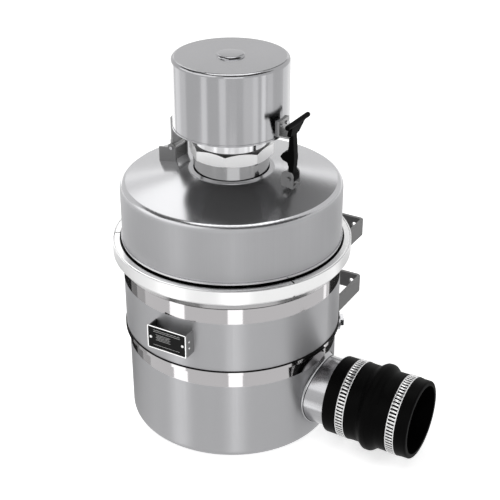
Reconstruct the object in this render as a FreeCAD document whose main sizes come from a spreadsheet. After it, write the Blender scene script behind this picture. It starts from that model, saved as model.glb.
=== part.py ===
import FreeCAD, Part
import math
import os
import re
import Sketcher

# A canister air filter for dry bulk blowers. The origin is the centre of the flat bottom,
# +Z runs up the canister's axis, the outlet points along +X and the wall brackets are at +Y.
# Sizes are millimetres and degrees.
SIZES = {
    # canister
    "shell_radius": 159.5,
    "shell_wall": 2.5,
    "slip_gap": 1.5,
    "base_round": 12,
    "lip_height": 148,
    "lip_width": 6,
    "lip_depth": 1.5,
    "slip_length": 12,
    # clamped joint between canister and lid
    "joint_height": 275.5,
    "flange_reach": 7.5,
    "flange_rim_height": 6,
    "flange_slope": 52,
    "lid_flange_height": 10.7,
    "plate_thickness": 2,
    "gasket_thickness": 1.5,
    "gasket_inset": 0.5,
    # lid
    "lid_inset": 0.5,
    "lid_wall": 2.5,
    "lid_neck_inset": 4,
    "lid_neck_wall": 5,
    "lid_neck_height": 5.3,
    "lid_bead_reach": 1.8,
    "lid_bead_height": 3,
    "skirt_height": 85,
    "shoulder_round": 10,
    "cone_slope": 9.4,
    # clamp band
    "segment_gap": 3.5,
    "segment_floor_gap": 2.7,
    "segment_wall": 2,
    "segment_chamfer": 1.5,
    "segment_fit_gap": 0.1,
    "segment_angle": 119.2,
    "band_wall": 1.8,
    "band_height": 18.2,
    "band_drop_height": 0.3,
    "opening_angle": 15,
    "loop_spread": 30,
    "loop_bore": 5.5,
    "loop_wall": 2,
    "loop_sink_depth": 0.6,
    "loop_height": 16,
    "bolt_radius": 4,
    "bolt_tail_length": 20,
    "slot_gap": 0.4,
    "running_gap": 0.05,
    "rest_gap": 0.3,
    "nut_flats_width": 13,
    "nut_length": 9,
    # inlet neck, coupling and adapter
    "spigot_step_width": 6.35,
    "neck_wall": 3,
    "neck_sink_depth": 8,
    "neck_height": 18,
    "collar_width": 16.55,
    "collar_height": 1.5,
    "coupling_ledge_width": 4.2,
    "coupling_height": 39.5,
    "coupling_foot_inset": 1,
    "coupling_foot_height": 21,
    "chamfer_angle": 30,
    "seal_thickness": 3,
    "adapter_radius": 50.8,
    "adapter_height": 64,
    "groove_depth": 4,
    "groove_height": 34,
    "groove_width": 10,
    # hinged cap
    "cap_radius": 81,
    "cap_wall": 2,
    "rim_gap": 22.78,
    "cap_height": 100.5,
    "cap_round": 5,
    "rim_depth": 0.7,
    "rim_height": 2.5,
    "boss_radius": 20.5,
    "boss_height": 3,
    "boss_round": 1.6,
    "post_radius": 10,
    "seal_overhang_width": 6.2,
    "cap_seal_thickness": 4.2,
    "plate_overhang_width": 3,
    "seal_plate_thickness": 3.5,
    # hinge
    "hinge_gap": 9,
    "hinge_lift_height": 20.58,
    "hinge_pin_radius": 2.5,
    "pin_end_length": 2.5,
    "barrel_radius": 5,
    "leaf_width": 27,
    "leaf_wall": 2.5,
    "joggle_gap": 3,
    "leaf_height": 41,
    "leaf_rivet_inset": 8,
    "leaf_rivet_gap": 14,
    "lug_wall": 2.5,
    "lug_length": 22,
    "lug_drop_height": 2.5,
    "lug_eye_radius": 6.5,
    "foot_wall": 2,
    # latch
    "latch_gap": 16,
    "latch_lift_height": 12.74,
    "latch_pin_radius": 3,
    "latch_bulb_radius": 7.5,
    "latch_width": 13,
    "latch_foot_width": 16,
    "ear_wall": 2.5,
    "ear_radius": 9.3,
    "ear_lean_width": 2.5,
    "ear_lift_height": 2.5,
    "strap_thickness": 6.5,
    "strap_swell_width": 2.5,
    "bump_height": 29,
    "bump_reach": 13,
    "bump_side_reach": 9.1,
    "bump_upper_side": 9,
    "bump_upper_length": 17,
    "bump_lower_side": 7,
    "bump_lower_length": 12,
    "grip_lean_width": 7,
    "grip_lift_height": 20.2,
    "grip_radius": 3.6,
    "grip_length": 62,
    "blade_inset": 0.72,
    "blade_foot_width": 25,
    "blade_top_width": 40,
    "shelf_gap": 3,
    "keeper_width": 28,
    "keeper_wall": 2.5,
    "keeper_height": 22,
    "keeper_slot_width": 15,
    "keeper_slot_gap": 2,
    "keeper_rivet_inset": 7,
    "rivet_radius": 2.5,
    "rivet_height": 1.8,
    # outlet
    "outlet_radius": 50.8,
    "outlet_wall": 2,
    "outlet_sink_depth": 1.3,
    "tube_length": 89,
    "tube_bare_length": 26,
    "saddle_base_gap": 6.5,
    "saddle_flare_width": 12.2,
    "saddle_neck_length": 7.5,
    "saddle_neck_wall": 3.2,
    "saddle_gap": 1.5,
    "sleeve_length": 131,
    "sleeve_wall": 7,
    "hump_reach": 67.5,
    "hump_height": 9,
    "hump_top_length": 14,
    "hump_side_length": 14,
    "hump_fold_length": 2,
    "hump_round": 8,
    "inner_clamp_inset": 28.5,
    "outer_clamp_inset": 24.5,
    "clamp_width": 13,
    "clamp_wall": 1.4,
    "housing_width": 16,
    "housing_height": 11,
    "housing_length": 22,
    "housing_sink_depth": 3,
    "worm_radius": 3.6,
    "worm_length": 32,
    "worm_drop_height": 1,
    # wall brackets
    "bracket_half_width": 121.5,
    "bracket_depth": 40.5,
    "bracket_wall": 5,
    "bracket_bend": 3,
    "bracket_height": 26,
    "bracket_gap": 0.4,
    "bracket_drop_height": 8,
    "bracket_hole_inset": 15.5,
    "bracket_hole_radius": 4.5,
    # nameplate
    "plate_half_width": 31,
    "plate_height": 35,
    "plate_lift_height": 46,
    "plate_depth": 17,
    "plate_wall": 2,
    "plate_bend": 1.5,
    "plate_margin": 0.8,
    "label_thickness": 0.8,
    "label_rivet_inset": 5,
    "label_rivet_radius": 2.2,
    # gauge port
    "port_angle": 35,
    "port_drop_height": 16,
    "port_radius": 14.5,
    "port_reach": 8,
    "port_bore": 6,
    "plug_flats_width": 17,
    "plug_height": 6,
    # filter element
    "element_radius": 112,
    "element_length": 175.5,
    "pleat_depth": 22,
    "pleat_thickness": 1.6,
    "end_cap_height": 4,
    "end_cap_overhang": 4,
    "element_head_height": 5.5,
    "core_wall": 1.5,
    "core_hole_radius": 6,
}
PLEATS = 40
CORE_ROWS = 5
CORE_HOLES = 12
FUNCTIONS = {"sqrt", "sin", "cos", "tan"}


def cone_height(radius):
    """Height of the lid's sloping top at a radius."""
    return "(lid_shoulder + (lid_radius - (%s)) * tan(cone_slope))" % radius


def flange_height(radius):
    """How far the body flange's sloping underside hangs below its sealing face at a radius."""
    return "(flange_rim_height + (flange_radius - (%s)) * tan(flange_slope))" % radius


# Sizes and places that follow from the driving ones, named for use in any expression.
PLACES = {
    # canister and clamped joint
    "lower_radius": "shell_radius - shell_wall - slip_gap",
    "lower_inside": "lower_radius - shell_wall",
    "inner_radius": "shell_radius - shell_wall",
    "lip_radius": "shell_radius + lip_depth",
    "lip_top": "lip_height + lip_width",
    "pan_top": "lip_height + slip_length",
    "flange_radius": "shell_radius + flange_reach",
    "gasket_radius": "flange_radius - gasket_inset",
    "half_stack": "plate_thickness / 2 + gasket_thickness",
    "body_flange_top": "joint_height - half_stack",
    "body_flange_base": "body_flange_top - " + flange_height("shell_radius"),
    "lid_flange_base": "joint_height + half_stack",
    "lid_flange_top": "lid_flange_base + lid_flange_height",
    # lid
    "lid_radius": "shell_radius - lid_inset",
    "lid_neck_radius": "lid_radius - lid_neck_inset",
    "lid_base": "lid_flange_top + lid_neck_height",
    "lid_shoulder": "lid_base + skirt_height",
    # clamp band
    "segment_lip": "shell_radius + segment_gap",
    "segment_floor": "flange_radius + segment_floor_gap",
    "segment_ceiling": "lid_flange_top + segment_fit_gap",
    "segment_top": "segment_ceiling + segment_wall",
    "band_inside": "segment_floor + segment_wall",
    "band_radius": "band_inside + band_wall",
    "band_middle": "segment_top - band_drop_height - band_height / 2",
    "loop_radius": "loop_bore + loop_wall",
    "loop_centre": "band_radius + loop_radius - loop_sink_depth",
    "bolt_line": "sqrt(loop_centre * loop_centre - loop_spread * loop_spread)",
    "nut_face": "loop_spread + loop_radius + rest_gap",
    # inlet
    "neck_radius": "adapter_radius - spigot_step_width",
    "neck_bore": "neck_radius - neck_wall",
    "collar_radius": "neck_radius + collar_width",
    "collar_top": cone_height("collar_radius") + " + collar_height",
    "neck_base": "collar_top - neck_sink_depth",
    "neck_top": "collar_top + neck_height",
    "spigot_base": "neck_top + seal_thickness",
    "coupling_radius": "adapter_radius + coupling_ledge_width",
    "coupling_top": "collar_top + coupling_height",
    "adapter_top": "coupling_top + adapter_height",
    # cap
    "cap_inside": "cap_radius - cap_wall",
    "cap_rim": "coupling_top + rim_gap",
    "cap_top": "cap_rim + cap_height",
    "cap_ceiling": "cap_top - cap_wall",
    "cap_seal_radius": "adapter_radius + seal_overhang_width",
    "cap_seal_base": "adapter_top + rest_gap",
    "seal_plate_radius": "cap_seal_radius + plate_overhang_width",
    "seal_plate_base": "cap_seal_base + cap_seal_thickness",
    "seal_plate_top": "seal_plate_base + seal_plate_thickness",
    # hinge and latch
    "hinge_reach": "cap_radius + hinge_gap",
    "hinge_height": cone_height("hinge_reach") + " + hinge_lift_height",
    "lug_end": "hinge_reach + lug_length",
    "leaf_joggle": "cap_rim - joggle_gap",
    "leaf_top": "cap_rim + leaf_height",
    "latch_reach": "cap_radius + latch_gap",
    "latch_pin_height": cone_height("latch_reach") + " + latch_lift_height",
    "keeper_shelf": "cap_rim + shelf_gap",
    "keeper_top": "keeper_shelf + keeper_height",
    "blade_base": "keeper_shelf + keeper_wall + rest_gap",
    "grip_reach": "latch_reach + grip_lean_width",
    "grip_height": "blade_base + grip_lift_height",
    # outlet
    "saddle_radius": "outlet_radius + saddle_flare_width",
    "outlet_height": "saddle_radius + saddle_base_gap",
    "outlet_inside": "outlet_radius - outlet_wall",
    "outlet_start": "sqrt(lower_inside * lower_inside - outlet_radius * outlet_radius) - outlet_sink_depth",
    "sleeve_start": "lower_radius + tube_bare_length",
    "sleeve_end": "sleeve_start + sleeve_length",
    "sleeve_radius": "outlet_radius + sleeve_wall",
    "hump_start": "sleeve_start + hump_reach - hump_top_length / 2",
    "hump_end": "hump_start + hump_top_length",
    # pieces fixed to the canister
    "bracket_back": "shell_radius + bracket_depth",
    "bracket_upper": "body_flange_base - bracket_gap - bracket_height / 2",
    "bracket_lower": "lip_height + lip_width / 2 - bracket_drop_height",
    "plate_face": "shell_radius + plate_depth",
    "plate_middle": "lip_top + plate_lift_height",
    "port_height": "lip_height - port_drop_height",
    "port_face": "lower_radius + port_reach",
    # filter element
    "element_top": "joint_height - plate_thickness / 2",
    "element_head_base": "element_top - element_head_height",
    "element_base": "element_top - element_length",
    "end_cap_top": "element_base + end_cap_height",
    "end_cap_radius": "element_radius + end_cap_overhang",
    "core_radius": "element_radius - pleat_depth",
    "core_inside": "core_radius - core_wall",
}

doc = FreeCAD.newDocument("air_filter")
sheet = doc.addObject("Spreadsheet::Sheet", "sizes")
for row, (alias, number) in enumerate(SIZES.items(), start=1):
    sheet.set("A%d" % row, str(number))
    sheet.setAlias("A%d" % row, alias)
doc.recompute()

pieces = []


def bound(text):
    """An expression over size names, written the way the sheet's cells are referred to."""
    def cell(match):
        word = match.group(0)
        if word in PLACES:
            return "(%s)" % bound(PLACES[word])
        return word if word in FUNCTIONS else "sizes." + word
    return re.sub(r"[a-z][a-z_]*", cell, text)


def size(text):
    """The number that an expression over size names has now."""
    return float(sheet.evalExpression(bound(text)))


def set_sizes(thing, **properties):
    """Binds properties to size expressions; a double underscore stands for a dot."""
    for name, text in properties.items():
        thing.setExpression(name.replace("__", "."), bound(text))


def place(thing, x="0", y="0", z="0", turn=None, axis=(0, 0, 1)):
    """Puts a piece at a point given by size expressions, turned by an angle about an axis."""
    if turn is not None:
        thing.Placement.Rotation = FreeCAD.Rotation(FreeCAD.Vector(*axis), size(turn))
        if axis == (0, 0, 1) and size(turn) > 0:
            set_sizes(thing, Placement__Rotation__Angle=turn)
    set_sizes(thing, Placement__Base__x=x, Placement__Base__y=y, Placement__Base__z=z)


def keep(thing, label):
    """Marks an object as one of the object's pieces."""
    thing.Label = label
    pieces.append(thing)
    return thing


def origin_plane(body, role):
    return next(f for f in body.Origin.OriginFeatures if f.Role == role)


def outline(body, name, plane, corners):
    """A closed sketch on an origin plane, with every corner held at two size expressions."""
    sketch = body.newObject("Sketcher::SketchObject", name)
    sketch.AttachmentSupport = [(origin_plane(body, plane), "")]
    sketch.MapMode = "FlatFace"
    points = [FreeCAD.Vector(size(u), size(v), 0) for u, v in corners]
    count = len(points)
    for i in range(count):
        sketch.addGeometry(Part.LineSegment(points[i], points[(i + 1) % count]))
    for i in range(count):
        sketch.addConstraint(Sketcher.Constraint("Coincident", i, 2, (i + 1) % count, 1))
    for i, (u, v) in enumerate(corners):
        for kind, number, text in (("DistanceX", points[i].x, u), ("DistanceY", points[i].y, v)):
            index = sketch.addConstraint(Sketcher.Constraint(kind, -1, 1, i, 1, number))
            sketch.setExpression("Constraints[%d]" % index, bound(text))
    return sketch


def turned(name, corners, span=None, about="V_Axis"):
    """A solid of revolution from (radius, height) corners, or (length, radius) about H_Axis."""
    body = doc.addObject("PartDesign::Body", name)
    sketch = outline(body, name + "_outline", "XZ_Plane", corners)
    turn = body.newObject("PartDesign::Revolution", name + "_turn")
    turn.Profile = sketch
    turn.ReferenceAxis = (sketch, [about])
    turn.Angle = 360
    if span:
        turn.Midplane = True
        set_sizes(turn, Angle=span)
    sketch.Visibility = False
    return body


def grooved(body, name, corners):
    """Cuts a turned ring, given by (radius, height) corners, out of a body."""
    sketch = outline(body, name + "_outline", "XZ_Plane", corners)
    groove = body.newObject("PartDesign::Groove", name)
    groove.Profile = sketch
    groove.ReferenceAxis = (sketch, ["V_Axis"])
    groove.Angle = 360


def raised(name, plane, corners, length, midplane=True):
    """A pad of an outline, by default to both sides of its plane."""
    body = doc.addObject("PartDesign::Body", name)
    sketch = outline(body, name + "_outline", plane, corners)
    pad = body.newObject("PartDesign::Pad", name + "_pad")
    pad.Profile = sketch
    pad.Midplane = midplane
    set_sizes(pad, Length=length)
    return body


def round_edges(body, name, radius, circles):
    """Fillets the round edges that have the given radius and place along their axis."""
    doc.recompute()
    tip = body.Tip
    wanted = [(size(r), size(at)) for r, at in circles]
    found = []
    for i, edge in enumerate(tip.Shape.Edges, start=1):
        if not isinstance(edge.Curve, Part.Circle):
            continue
        centre = edge.Curve.Center
        along = centre.x if abs(edge.Curve.Axis.x) > 0.5 else centre.z
        for r, at in wanted:
            if abs(edge.Curve.Radius - r) < 1e-4 and abs(along - at) < 1e-4:
                found.append("Edge%d" % i)
    fillet_edges(body, name, radius, found, len(wanted))


def round_bends(body, name, radius, corners):
    """Fillets the upright edges that stand at the given (x, y) corners."""
    doc.recompute()
    wanted = [(size(x), size(y)) for x, y in corners]
    found = []
    for i, edge in enumerate(body.Tip.Shape.Edges, start=1):
        ends = [vertex.Point for vertex in edge.Vertexes]
        for x, y in wanted:
            if all(abs(end.x - x) < 1e-4 and abs(end.y - y) < 1e-4 for end in ends):
                found.append("Edge%d" % i)
    fillet_edges(body, name, radius, found, len(wanted))


def fillet_edges(body, name, radius, found, least):
    if len(found) < least:
        raise RuntimeError("no edge to round on " + body.Name)
    tip = body.Tip
    fillet = body.newObject("PartDesign::Fillet", name)
    fillet.Base = (tip, found)
    set_sizes(fillet, Radius=radius)


def cylinder(name, radius, length, **where):
    thing = doc.addObject("Part::Cylinder", name)
    set_sizes(thing, Radius=radius, Height=length)
    place(thing, **where)
    return thing


def block(name, length, width, height, **where):
    thing = doc.addObject("Part::Box", name)
    set_sizes(thing, Length=length, Width=width, Height=height)
    place(thing, **where)
    return thing


def joined(name, *things):
    fuse = doc.addObject("Part::MultiFuse", name)
    fuse.Shapes = list(things)
    return fuse


def grouped(name, *things):
    group = doc.addObject("Part::Compound", name)
    group.Links = list(things)
    return group


def cut(name, base, *tools):
    """The base with each tool taken away from it in turn."""
    for number, tool in enumerate(tools, start=1):
        step = doc.addObject("Part::Cut", name if number == len(tools) else name + "_%d" % number)
        step.Base = base
        step.Tool = tool
        base = step
    return base


ALONG_X = {"turn": "90", "axis": (0, 1, 0)}
ALONG_Y = {"turn": "-90", "axis": (1, 0, 0)}


def lid_cone_tool(name):
    """A solid that fills everything under the lid's sloping top."""
    cone = doc.addObject("Part::Cone", name)
    set_sizes(cone, Radius1="lid_radius", Height="lid_radius * tan(cone_slope)")
    cone.Radius2 = 0
    place(cone, z="lid_shoulder")
    return cone


def canister_shells():
    lower = turned("lower_pan", [
        ("0", "0"), ("lower_radius", "0"), ("lower_radius", "pan_top"),
        ("lower_inside", "pan_top"), ("lower_inside", "shell_wall"), ("0", "shell_wall"),
    ])
    round_edges(lower, "lower_pan_base", "base_round", [("lower_radius", "0")])
    round_edges(lower, "lower_pan_floor", "base_round - shell_wall", [("lower_inside", "shell_wall")])
    outlet_hole = cylinder("outlet_hole", "outlet_radius", "shell_radius",
                           z="outlet_height", x="shell_radius / 2", **ALONG_X)
    port_hole = cylinder("port_hole", "port_bore", "shell_radius", z="port_height", **ALONG_X)
    port_hole.Placement.Rotation = port_turn()
    keep(cut("lower_shell", lower, outlet_hole, port_hole), "lower_shell")
    keep(turned("upper_shell", [
        ("lower_radius", "lip_height"), ("lip_radius", "lip_height"), ("lip_radius", "lip_top"),
        ("shell_radius", "lip_top"), ("shell_radius", "body_flange_base"),
        ("inner_radius", "body_flange_base"), ("inner_radius", "lip_top"), ("lower_radius", "lip_top"),
    ]), "upper_shell")
    keep(turned("body_flange", [
        ("inner_radius", "body_flange_base"), ("shell_radius", "body_flange_base"),
        ("flange_radius", "body_flange_top - flange_rim_height"),
        ("flange_radius", "body_flange_top"), ("inner_radius", "body_flange_top"),
    ]), "body_flange")


def port_turn():
    """Turns the +Z axis to lie level at the gauge port's angle."""
    about = FreeCAD.Rotation(FreeCAD.Vector(0, 0, 1), size("port_angle"))
    return about.multiply(FreeCAD.Rotation(FreeCAD.Vector(0, 1, 0), 90))


def radial_piece(thing, start):
    """Moves a piece built along +Z out to a radius along the gauge port's axis."""
    set_sizes(thing, Placement__Base__x="(%s) * cos(port_angle)" % start,
              Placement__Base__y="(%s) * sin(port_angle)" % start,
              Placement__Base__z="port_height")
    thing.Placement.Rotation = port_turn()


def polygon(flats, sides, first_angle=0):
    """Corners of a regular polygon of a given size across its flats."""
    corner = "(%s) / 2 / cos(%g)" % (flats, 180 / sides)
    angles = [first_angle + 360 / sides * i for i in range(sides)]
    return [("%s * cos(%g)" % (corner, a), "%s * sin(%g)" % (corner, a)) for a in angles]


def gauge_port():
    boss = turned("port_boss_blank", [
        ("port_bore", "0"), ("port_radius", "0"), ("port_radius", "shell_wall + port_reach"),
        ("port_bore", "shell_wall + port_reach"),
    ])
    radial_piece(boss, "lower_inside")
    shell_inside = cylinder("port_boss_seat", "lower_radius", "2 * port_height")
    keep(cut("gauge_boss", boss, shell_inside), "gauge_boss")
    head = raised("plug_head", "XY_Plane", polygon("plug_flats_width", 6), "plug_height", midplane=False)
    radial_piece(head, "port_face")
    stem = cylinder("plug_stem", "port_bore", "shell_wall + port_reach + plug_height / 2")
    radial_piece(stem, "lower_inside")
    keep(joined("gauge_plug", head, stem), "gauge_plug")


def flat_ring(label, inside, outside, low, high):
    return keep(turned(label, [(inside, low), (outside, low), (outside, high), (inside, high)]), label)


def filter_element():
    flat_ring("lower_gasket", "inner_radius", "gasket_radius", "body_flange_top",
              "body_flange_top + gasket_thickness")
    flat_ring("upper_gasket", "inner_radius", "gasket_radius", "lid_flange_base - gasket_thickness",
              "lid_flange_base")
    flat_ring("element_plate", "core_inside", "gasket_radius", "element_top",
              "element_top + plate_thickness")
    flat_ring("element_head", "core_inside", "end_cap_radius", "element_head_base", "element_top")
    flat_ring("element_end_cap", "0", "end_cap_radius", "element_base", "end_cap_top")
    low_z = size("end_cap_top")
    high_z = size("element_head_base")
    foot = FreeCAD.Vector(0, 0, low_z)
    core = Part.makeCylinder(size("core_radius"), high_z - low_z, foot)
    core = core.cut(Part.makeCylinder(size("core_inside"), high_z - low_z, foot))
    pitch = (high_z - low_z) / CORE_ROWS
    holes = []
    for level in range(CORE_ROWS):
        for number in range(CORE_HOLES):
            angle = math.radians(360 / CORE_HOLES * (number + level % 2 / 2))
            way = FreeCAD.Vector(math.cos(angle), math.sin(angle), 0)
            start = foot + way * (size("core_inside") / 2) + FreeCAD.Vector(0, 0, pitch * (level + 0.5))
            holes.append(Part.makeCylinder(size("core_hole_radius"), size("core_radius"), start, way))
    core_piece = doc.addObject("Part::Feature", "element_core")
    core_piece.Shape = core.cut(Part.makeCompound(holes))
    keep(core_piece, "element_core")
    pleat = doc.addObject("Part::Feature", "pleated_media")
    pleat.Shape = pleat_ring(size("core_radius"), size("element_radius"), low_z, high_z)
    keep(pleat, "pleated_media")


def pleat_ring(inner, outer, low_z, high_z):
    """A closed ring of sharp pleats, one sheet thick, standing between two heights."""
    step = math.pi / PLEATS

    def star(small, large):
        points = []
        for i in range(2 * PLEATS):
            radius = large if i % 2 else small
            points.append(FreeCAD.Vector(radius * math.cos(i * step), radius * math.sin(i * step), low_z))
        return Part.Face(Part.makePolygon(points + points[:1]))

    lean = (outer - inner) / (inner * step)
    shift = size("pleat_thickness") * math.sqrt(1 + lean * lean) / 2
    ring = star(inner + shift, outer).cut(star(inner, outer - shift))
    return ring.extrude(FreeCAD.Vector(0, 0, high_z - low_z))


def lid():
    wall_drop = "lid_wall / cos(cone_slope)"
    skirt_inside = "(lid_radius - lid_wall)"
    foot_inside = "lid_neck_radius - lid_neck_wall"
    shell = turned("lid_shell", [
        ("collar_radius", cone_height("collar_radius")), ("lid_radius", "lid_shoulder"),
        ("lid_radius", "lid_base + lid_bead_height"),
        ("lid_radius + lid_bead_reach", "lid_base + lid_bead_height"),
        ("lid_radius + lid_bead_reach", "lid_base"), (foot_inside, "lid_base"),
        (foot_inside, "lid_base + lid_wall"), (skirt_inside, "lid_base + lid_wall"),
        (skirt_inside, cone_height(skirt_inside) + " - " + wall_drop),
        ("collar_radius", cone_height("collar_radius") + " - " + wall_drop),
    ])
    round_edges(shell, "lid_shoulder_outside", "shoulder_round", [("lid_radius", "lid_shoulder")])
    round_edges(shell, "lid_shoulder_inside", "shoulder_round - lid_wall",
                [(skirt_inside, cone_height(skirt_inside) + " - " + wall_drop)])
    keep(shell, "lid_shell")
    keep(turned("lid_flange", [
        (foot_inside, "lid_flange_base"), ("flange_radius", "lid_flange_base"),
        ("flange_radius", "lid_flange_top"), ("lid_neck_radius", "lid_flange_top"),
        ("lid_neck_radius", "lid_base"), (foot_inside, "lid_base"),
    ]), "lid_flange")


def lid_cone_tool(name):
    """A solid that fills everything under the lid's sloping top."""
    cone = doc.addObject("Part::Cone", name)
    set_sizes(cone, Radius1="lid_radius", Height="lid_radius * tan(cone_slope)")
    cone.Radius2 = 0
    place(cone, z="lid_shoulder")
    return cone


def inlet():
    flat_ring("neck_collar", "neck_radius", "collar_radius", "neck_base + neck_sink_depth / 2", "collar_top")
    flat_ring("neck_pipe", "neck_bore", "neck_radius", "neck_base", "neck_top")
    flat_ring("adapter_seal", "neck_bore", "neck_radius", "neck_top", "spigot_base")
    coupling = raised("inlet_coupling", "XY_Plane", polygon("2 * coupling_radius", 8, first_angle=22.5),
                      "coupling_height", midplane=False)
    beyond = "(coupling_radius / cos(22.5) + seal_thickness)"
    grooved(coupling, "coupling_bore", [
        ("0", "-seal_thickness"), ("neck_radius", "-seal_thickness"),
        ("neck_radius", "coupling_height + seal_thickness"), ("0", "coupling_height + seal_thickness"),
    ])
    grooved(coupling, "coupling_top_chamfer", [
        ("coupling_radius", "coupling_height"), (beyond, "coupling_height"),
        (beyond, "coupling_height - (%s - coupling_radius) * tan(chamfer_angle)" % beyond),
    ])
    foot_wall = "coupling_radius - coupling_foot_inset"
    grooved(coupling, "coupling_foot", [
        (foot_wall, "-seal_thickness"), (beyond, "-seal_thickness"),
        (beyond, "coupling_foot_height + (%s - coupling_radius) * tan(chamfer_angle)" % beyond),
        ("coupling_radius", "coupling_foot_height"), (foot_wall, "coupling_foot_height"),
    ])
    place(coupling, z="collar_top")
    keep(coupling, "inlet_coupling")
    groove_low = "coupling_top + groove_height"
    groove_floor = "adapter_radius - groove_depth"
    keep(turned("inlet_adapter", [
        ("neck_bore", "spigot_base"), ("neck_radius", "spigot_base"), ("neck_radius", "coupling_top"),
        ("adapter_radius", "coupling_top"), ("adapter_radius", groove_low),
        (groove_floor, groove_low), (groove_floor, groove_low + " + groove_width"),
        ("adapter_radius", groove_low + " + groove_width"), ("adapter_radius", "adapter_top"),
        ("neck_bore", "adapter_top"),
    ]), "inlet_adapter")


def clamp_segments():
    """Three arcs whose flat upper leg lies on the lid flange and whose lower leg hugs the body flange."""
    skin = "segment_wall / cos(flange_slope)"

    def inside(radius):
        return "body_flange_top - %s - segment_fit_gap" % flange_height(radius)

    def outside(radius):
        return inside(radius) + " - " + skin

    corners = [
        ("segment_lip", "segment_top"), ("band_inside - segment_chamfer", "segment_top"),
        ("band_inside", "segment_top - segment_chamfer"),
        ("band_inside", outside("band_inside")), ("segment_lip", outside("segment_lip")),
        ("segment_lip", inside("segment_lip")), ("segment_floor", inside("segment_floor")),
        ("segment_floor", "segment_ceiling"), ("segment_lip", "segment_ceiling"),
    ]
    for name, turn in (("front_segment", "270"), ("right_segment", "30"), ("left_segment", "150")):
        segment = turned(name, corners, span="segment_angle")
        place(segment, turn=turn)
        keep(segment, name)


def clamp_strap():
    strap = turned("strap_ring", [
        ("band_inside", "-band_height / 2"), ("band_radius", "-band_height / 2"),
        ("band_radius", "band_height / 2"), ("band_inside", "band_height / 2"),
    ], span="360 - opening_angle")
    place(strap, z="band_middle", turn="270")
    loops = []
    windows = []
    bores = []
    low = "band_middle - loop_height / 2"
    slot = "(bolt_radius + slot_gap)"
    for name, side, start in (("left", "-", "-loop_spread - " + slot),
                              ("right", "", "loop_spread - loop_radius")):
        where = {"x": side + "loop_spread", "y": "bolt_line"}
        loops.append(cylinder(name + "_loop", "loop_radius", "loop_height", z=low, **where))
        bores.append(cylinder(name + "_loop_bore", "loop_bore", "loop_height", z=low, **where))
        windows.append(block(name + "_loop_slot", "2 * loop_radius", "loop_radius + " + slot, "2 * " + slot,
                             x=start, y="bolt_line - " + slot, z="band_middle - " + slot))
    keep(cut("clamp_strap", joined("strap_with_loops", strap, *loops), *bores, *windows), "clamp_strap")


def clamp_bolt():
    low = "band_middle - loop_height / 2"
    slot = "(bolt_radius + slot_gap)"
    barrel = "loop_bore - running_gap"
    saddle = cylinder("saddle_barrel", barrel, "loop_height", x="loop_spread", y="bolt_line", z=low)
    saddle_slot = block("saddle_slot", "4 * loop_radius", "2 * loop_radius", "2 * " + slot,
                        x="loop_spread - 2 * loop_radius", y="bolt_line - " + slot,
                        z="band_middle - " + slot)
    keep(cut("bolt_saddle", saddle, saddle_slot), "bolt_saddle")
    head = cylinder("bolt_head", barrel, "loop_height", x="-loop_spread", y="bolt_line", z=low)
    shank = cylinder("bolt_shank", "bolt_radius", "nut_face + nut_length + bolt_tail_length + loop_spread",
                     x="-loop_spread", y="bolt_line", z="band_middle", **ALONG_X)
    keep(joined("t_bolt", head, shank), "t_bolt")
    nut = raised("clamp_nut_blank", "YZ_Plane", polygon("nut_flats_width", 6), "nut_length", midplane=False)
    place(nut, x="nut_face", y="bolt_line", z="band_middle")
    nut_bore = cylinder("clamp_nut_bore", "bolt_radius + running_gap", "2 * nut_length",
                        x="nut_face - nut_length / 2", y="bolt_line", z="band_middle", **ALONG_X)
    keep(cut("clamp_nut", nut, nut_bore), "clamp_nut")


def cap():
    shell = turned("cap_shell", [
        ("cap_inside", "cap_rim"), ("cap_radius + rim_depth", "cap_rim"),
        ("cap_radius + rim_depth", "cap_rim + rim_height"), ("cap_radius", "cap_rim + rim_height"),
        ("cap_radius", "cap_top"), ("0", "cap_top"), ("0", "cap_ceiling"), ("cap_inside", "cap_ceiling"),
    ])
    round_edges(shell, "cap_top_edge", "cap_round", [("cap_radius", "cap_top")])
    round_edges(shell, "cap_top_inside", "cap_round - cap_wall", [("cap_inside", "cap_ceiling")])
    keep(shell, "cap_shell")
    boss = turned("cap_boss", [
        ("0", "cap_top"), ("boss_radius", "cap_top"), ("boss_radius", "cap_top + boss_height"),
        ("0", "cap_top + boss_height"),
    ])
    round_edges(boss, "cap_boss_edge", "boss_round", [("boss_radius", "cap_top + boss_height")])
    keep(boss, "cap_boss")
    flat_ring("cap_seal", "0", "cap_seal_radius", "cap_seal_base", "seal_plate_base")
    flat_ring("seal_plate", "0", "seal_plate_radius", "seal_plate_base", "seal_plate_top")
    flat_ring("cap_post", "0", "post_radius", "seal_plate_top", "cap_ceiling")


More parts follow.
